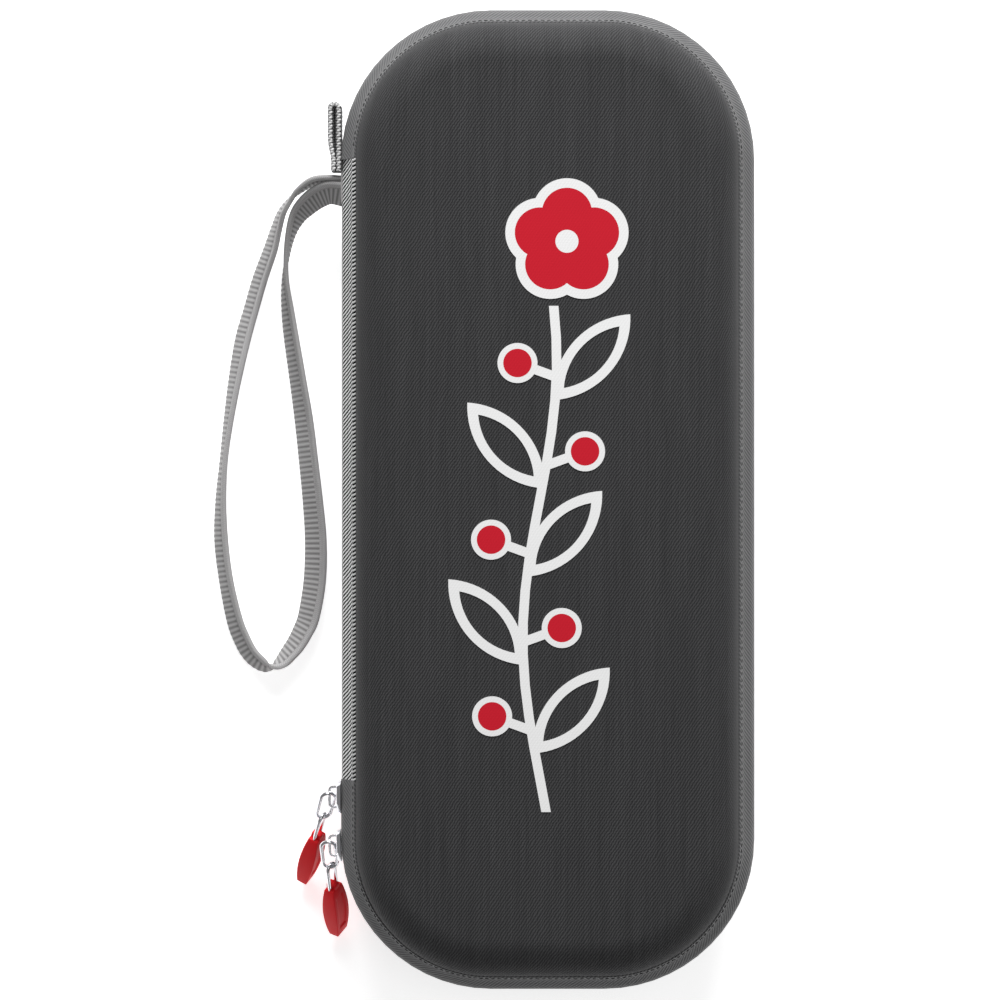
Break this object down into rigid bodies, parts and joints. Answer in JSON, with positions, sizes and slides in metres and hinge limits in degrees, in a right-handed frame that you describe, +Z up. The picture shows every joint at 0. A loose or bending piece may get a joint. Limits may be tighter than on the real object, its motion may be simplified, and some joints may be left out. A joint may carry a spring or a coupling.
{
  "type": "stethoscope hard case",
  "caption": "Zipped clamshell hard case with rounded corners, woven spine hinge, wrist strap and paired zip pulls, for holding a stethoscope.",
  "frame": {"origin": "centre of the back panel's flat outer face, on which the closed case rests", "axes": "+Z up out of the lid's printed face, +Y along the case to the end with the wrist strap, +X away from the spine hinge"},
  "size_m": [0.165, 0.294, 0.0553],
  "materials": {
    "cover_fabric": "charcoal grey diagonal twill with fine vertical slubs, dull sheen",
    "foam_core": "moulded EVA foam, dark grey",
    "lining_fabric": "black brushed lining cloth",
    "binding_fabric": "black woven binding tape",
    "zip_tape": "grey herringbone zip tape",
    "zip_coil": "black nylon coil",
    "spine_webbing": "woven checker ribbon in light and dark grey",
    "strap_webbing": "ribbed grey webbing with smooth selvedges",
    "pocket_mesh": "black mesh",
    "elastic": "black woven elastic",
    "print_white": "matt white screen print",
    "print_red": "matt red screen print",
    "plated_metal": "bright nickel plate",
    "pull_rubber": "red soft-gloss moulded grip"
  },
  "bodies": {
    "base": {"base_cover": "cover_fabric", "base_core": "foam_core", "base_lining": "lining_fabric", "base_binding": "binding_fabric", "base_zip_tape": "zip_tape", "base_zip_coil": "zip_coil", "hold_band_upper": "elastic", "hold_band_lower": "elastic", "spine_ribbon": "spine_webbing", "spine_lining": "lining_fabric", "strap_tail": "strap_webbing", "seam_tab": "strap_webbing"},
    "lid": {"lid_cover": "cover_fabric", "lid_core": "foam_core", "lid_lining": "lining_fabric", "lid_binding": "binding_fabric", "lid_zip_tape": "zip_tape", "lid_zip_coil": "zip_coil", "mesh_pocket": "pocket_mesh", "mesh_pocket_edge": "elastic", "lid_print_white": "print_white", "lid_print_red": "print_red"},
    "upper_slider": {"slider_upper": "plated_metal"},
    "upper_ring": {"pull_ring_upper": "plated_metal"},
    "upper_pull": {"pull_loop_upper": "plated_metal", "pull_grip_upper": "pull_rubber"},
    "lower_slider": {"slider_lower": "plated_metal"},
    "lower_ring": {"pull_ring_lower": "plated_metal"},
    "lower_pull": {"pull_loop_lower": "plated_metal", "pull_grip_lower": "pull_rubber"},
    "strap": {"wrist_strap": "strap_webbing"}
  },
  "joints": [
    {"name": "lid_hinge", "type": "hinge", "parent": "base", "child": "lid", "pos_m": [-0.0623, 0, 0.0275], "axis": [0, -1, 0], "range_deg": [0, 120], "deforming": ["spine_ribbon", "spine_lining", "lid_zip_tape", "lid_zip_coil"]},
    {"name": "upper_slider_travel", "type": "slide", "parent": "base", "child": "upper_slider", "axis": [0, -1, 0], "range_m": [0, 0.004]},
    {"name": "lower_slider_travel", "type": "hinge", "parent": "base", "child": "lower_slider", "pos_m": [-0.017, -0.102, 0.0275], "axis": [0, 0, 1], "range_deg": [0, 75]},
    {"name": "upper_ring_swing", "type": "hinge", "parent": "upper_slider", "child": "upper_ring", "pos_m": [-0.0657, -0.0895, 0.0275], "axis": [0, -1, 0], "range_deg": [-50, 0]},
    {"name": "upper_pull_swing", "type": "hinge", "parent": "upper_ring", "child": "upper_pull", "pos_m": [-0.06829, -0.09615, 0.02144], "axis": [0.9521, -0.026, -0.3046], "range_deg": [-12, 12]},
    {"name": "lower_ring_swing", "type": "hinge", "parent": "lower_slider", "child": "lower_ring", "pos_m": [-0.06565, -0.10421, 0.0275], "axis": [0.0454, -0.999, 0], "range_deg": [-50, 0]},
    {"name": "lower_pull_swing", "type": "hinge", "parent": "lower_ring", "child": "lower_pull", "pos_m": [-0.06573, -0.11123, 0.02131], "axis": [0.9986, 0.0523, 0], "range_deg": [-12, 12]},
    {"name": "wrist_strap_lift", "type": "hinge", "parent": "base", "child": "strap", "pos_m": [-0.0642, 0.0938, 0.0275], "axis": [0, -1, 0], "range_deg": [-60, 0]}
  ]
}
